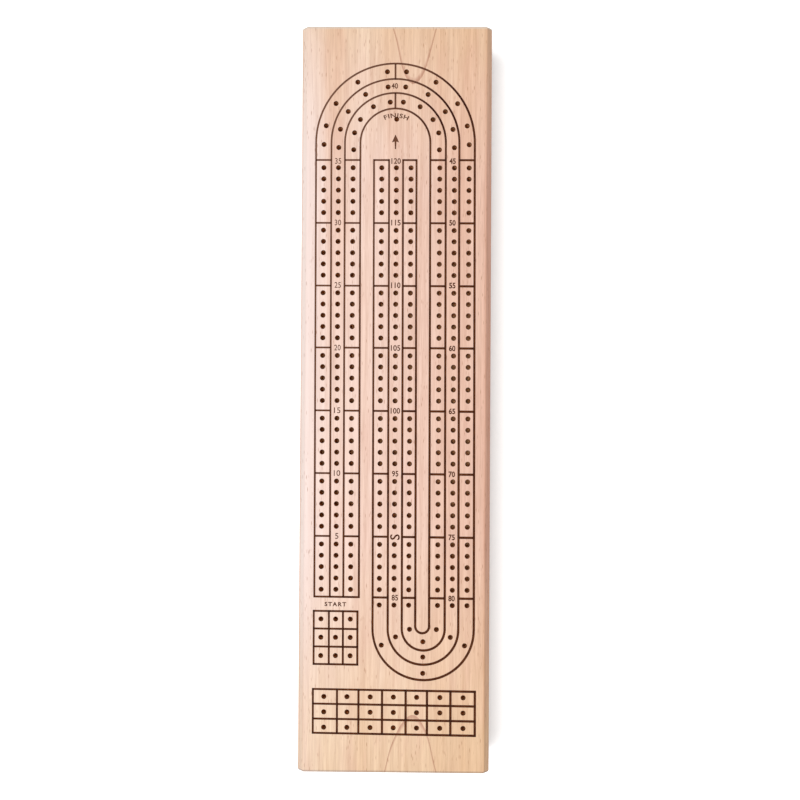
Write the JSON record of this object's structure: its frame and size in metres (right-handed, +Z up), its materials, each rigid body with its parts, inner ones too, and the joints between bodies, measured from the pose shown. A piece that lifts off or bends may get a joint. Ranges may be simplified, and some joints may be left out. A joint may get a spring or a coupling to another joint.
{
  "type": "cribbage box with drawer",
  "caption": "Long wooden cribbage board on a shallow box, with a drilled continuous track and an end drawer for pegs and cards.",
  "frame": {"origin": "middle of the box on the surface that it stands on", "axes": "+Z up, +Y towards the finishing end of the board, +X to the right; the drawer pulls out along -Y"},
  "size_m": [0.1016, 0.3968, 0.0435],
  "materials": {
    "board_hardwood": "satin-lacquered pale hardwood with burnt lines",
    "case_hardwood": "satin-lacquered pale hardwood",
    "drawer_hardwood": "bare sanded pale hardwood",
    "birch_plywood": "bare thin plywood",
    "peg_brass": "turned brass",
    "peg_nickel": "nickel plated",
    "peg_black": "blackened metal",
    "zinc_steel": "zinc-plated screw",
    "foot_rubber": "soft dark rubber"
  },
  "bodies": {
    "box": {"top_board": "board_hardwood", "side_rail_left": "case_hardwood", "side_rail_right": "case_hardwood", "end_block": "case_hardwood", "bottom_panel": "birch_plywood", "stop_screw": "zinc_steel", "foot_start_left": "foot_rubber", "foot_start_right": "foot_rubber", "foot_finish_left": "foot_rubber", "foot_finish_right": "foot_rubber"},
    "drawer": {"drawer_front": "case_hardwood", "drawer_side_left": "drawer_hardwood", "drawer_side_right": "drawer_hardwood", "drawer_back": "drawer_hardwood", "drawer_panel": "birch_plywood", "peg_divider": "drawer_hardwood", "card_divider": "drawer_hardwood", "rear_divider": "drawer_hardwood", "peg_brass_1": "peg_brass", "peg_brass_2": "peg_brass", "peg_brass_3": "peg_brass", "peg_nickel_1": "peg_nickel", "peg_nickel_2": "peg_nickel", "peg_nickel_3": "peg_nickel", "peg_black_1": "peg_black", "peg_black_2": "peg_black", "peg_black_3": "peg_black"}
  },
  "joints": [
    {"name": "drawer_slide", "type": "slide", "parent": "box", "child": "drawer", "axis": [0, -1, 0], "range_m": [0, 0.292]}
  ]
}
